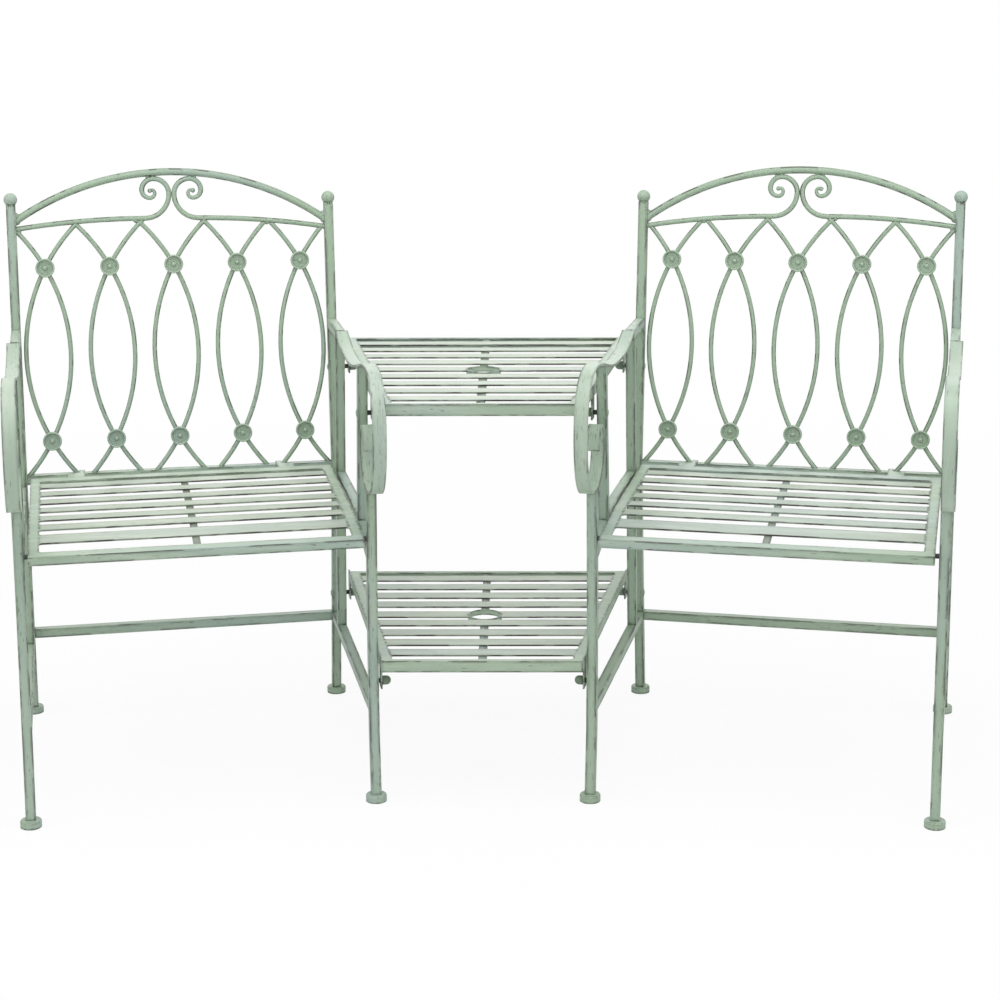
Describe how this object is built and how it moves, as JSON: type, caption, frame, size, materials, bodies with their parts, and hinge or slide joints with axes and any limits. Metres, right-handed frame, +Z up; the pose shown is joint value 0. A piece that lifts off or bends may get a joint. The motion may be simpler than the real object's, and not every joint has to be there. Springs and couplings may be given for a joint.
{
  "type": "companion seat bench",
  "caption": "Two slatted metal armchairs with lattice backs, turned in towards a slatted table and shelf that join them, both with a collar for an umbrella pole.",
  "frame": {"origin": "on the ground, under the middle of the whole seat's box", "axes": "+X to the right seen from the front, -Y towards the front, +Z up"},
  "size_m": [1.6894, 0.7493, 0.9883],
  "materials": {
    "frame_paint": "worn matt sage paint",
    "slat_paint": "worn matt sage paint",
    "nut_paint": "worn matt sage paint",
    "bolt_black": "black coated steel"
  },
  "bodies": {
    "root": {"bolts": "bolt_black", "cap_nuts": "nut_paint", "left_arm_inner": "frame_paint", "left_arm_outer": "frame_paint", "left_arm_post_inner": "frame_paint", "left_arm_post_outer": "frame_paint", "left_back_arch": "frame_paint", "left_back_post_inner": "frame_paint", "left_back_post_outer": "frame_paint", "left_back_seat_rail": "frame_paint", "left_back_stretcher": "frame_paint", "left_feet": "frame_paint", "left_front_leg_inner": "frame_paint", "left_front_leg_outer": "frame_paint", "left_lattice_bars": "frame_paint", "left_post_finials": "frame_paint", "left_rear_upright_inner": "frame_paint", "left_rear_upright_outer": "frame_paint", "left_rosettes": "frame_paint", "left_scroll_rails": "frame_paint", "left_seat_frame": "frame_paint", "left_seat_slats": "slat_paint", "left_seat_strip": "slat_paint", "left_side_rail_inner": "frame_paint", "left_side_rail_outer": "frame_paint", "left_side_stretcher_inner": "frame_paint", "left_side_stretcher_outer": "frame_paint", "right_arm_inner": "frame_paint", "right_arm_outer": "frame_paint", "right_arm_post_inner": "frame_paint", "right_arm_post_outer": "frame_paint", "right_back_arch": "frame_paint", "right_back_post_inner": "frame_paint", "right_back_post_outer": "frame_paint", "right_back_seat_rail": "frame_paint", "right_back_stretcher": "frame_paint", "right_feet": "frame_paint", "right_front_leg_inner": "frame_paint", "right_front_leg_outer": "frame_paint", "right_lattice_bars": "frame_paint", "right_post_finials": "frame_paint", "right_rear_upright_inner": "frame_paint", "right_rear_upright_outer": "frame_paint", "right_rosettes": "frame_paint", "right_scroll_rails": "frame_paint", "right_seat_frame": "frame_paint", "right_seat_slats": "slat_paint", "right_seat_strip": "slat_paint", "right_side_rail_inner": "frame_paint", "right_side_rail_outer": "frame_paint", "right_side_stretcher_inner": "frame_paint", "right_side_stretcher_outer": "frame_paint", "shelf_collar": "slat_paint", "shelf_frame": "slat_paint", "shelf_slats": "slat_paint", "shelf_strip": "slat_paint", "table_top_collar": "slat_paint", "table_top_frame": "slat_paint", "table_top_slats": "slat_paint", "table_top_strip": "slat_paint"}
  },
  "joints": []
}
